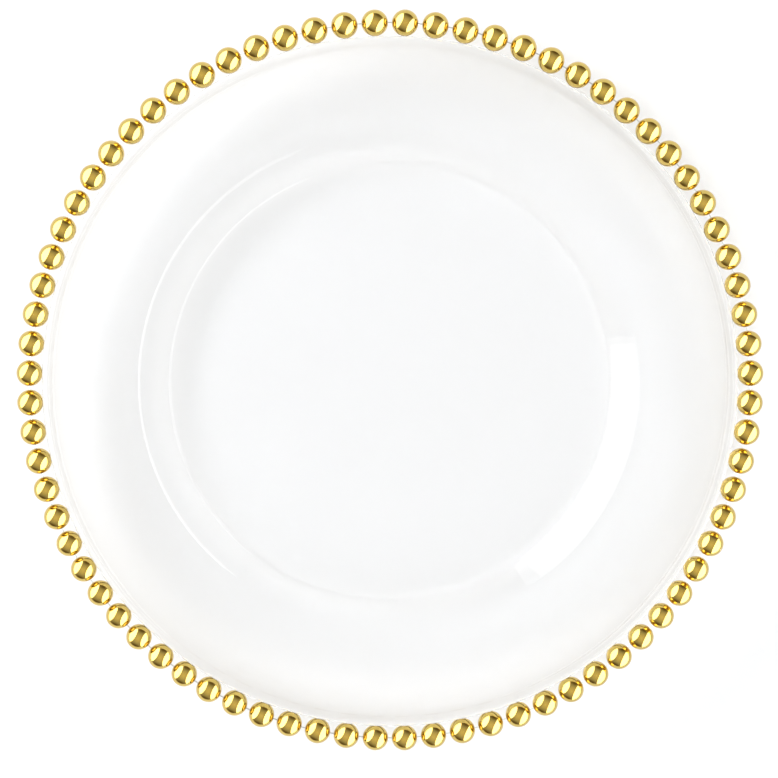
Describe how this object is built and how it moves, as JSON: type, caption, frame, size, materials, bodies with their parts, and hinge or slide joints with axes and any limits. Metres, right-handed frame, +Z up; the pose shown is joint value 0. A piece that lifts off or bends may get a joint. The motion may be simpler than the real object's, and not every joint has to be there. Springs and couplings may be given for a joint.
{
  "type": "charger plate",
  "caption": "Round clear glass charger plate with a shallow well, a wide rising rim and a ring of gold beads strung round its edge, to set under a dinner plate.",
  "frame": {"origin": "centre of the landing ring, on the plane that the plate stands on", "axes": "+Z up along the axis of the plate, +X and +Y across it through gaps between beads"},
  "size_m": [0.3298, 0.3298, 0.0215],
  "materials": {
    "clear_glass": "polished",
    "clear_adhesive": "gloss",
    "steel_wire": "satin",
    "gold_plating": "polished"
  },
  "bodies": {
    "root": {"glass_plate": "clear_glass", "bond_ring": "clear_adhesive", "bead_wire": "steel_wire", "bead_pair_01": "gold_plating", "bead_pair_02": "gold_plating", "bead_pair_03": "gold_plating", "bead_pair_04": "gold_plating", "bead_pair_05": "gold_plating", "bead_pair_06": "gold_plating", "bead_pair_07": "gold_plating", "bead_pair_08": "gold_plating", "bead_pair_09": "gold_plating", "bead_pair_10": "gold_plating", "bead_pair_11": "gold_plating", "bead_pair_12": "gold_plating", "bead_pair_13": "gold_plating", "bead_pair_14": "gold_plating", "bead_pair_15": "gold_plating", "bead_pair_16": "gold_plating", "bead_pair_17": "gold_plating", "bead_pair_18": "gold_plating", "bead_pair_19": "gold_plating", "bead_pair_20": "gold_plating", "bead_pair_21": "gold_plating", "bead_pair_22": "gold_plating", "bead_pair_23": "gold_plating", "bead_pair_24": "gold_plating", "bead_pair_25": "gold_plating", "bead_pair_26": "gold_plating", "bead_pair_27": "gold_plating", "bead_pair_28": "gold_plating", "bead_pair_29": "gold_plating", "bead_pair_30": "gold_plating", "bead_pair_31": "gold_plating", "bead_pair_32": "gold_plating", "bead_pair_33": "gold_plating", "bead_pair_34": "gold_plating", "bead_pair_35": "gold_plating", "bead_pair_36": "gold_plating", "bead_pair_37": "gold_plating", "bead_pair_38": "gold_plating"}
  },
  "joints": []
}
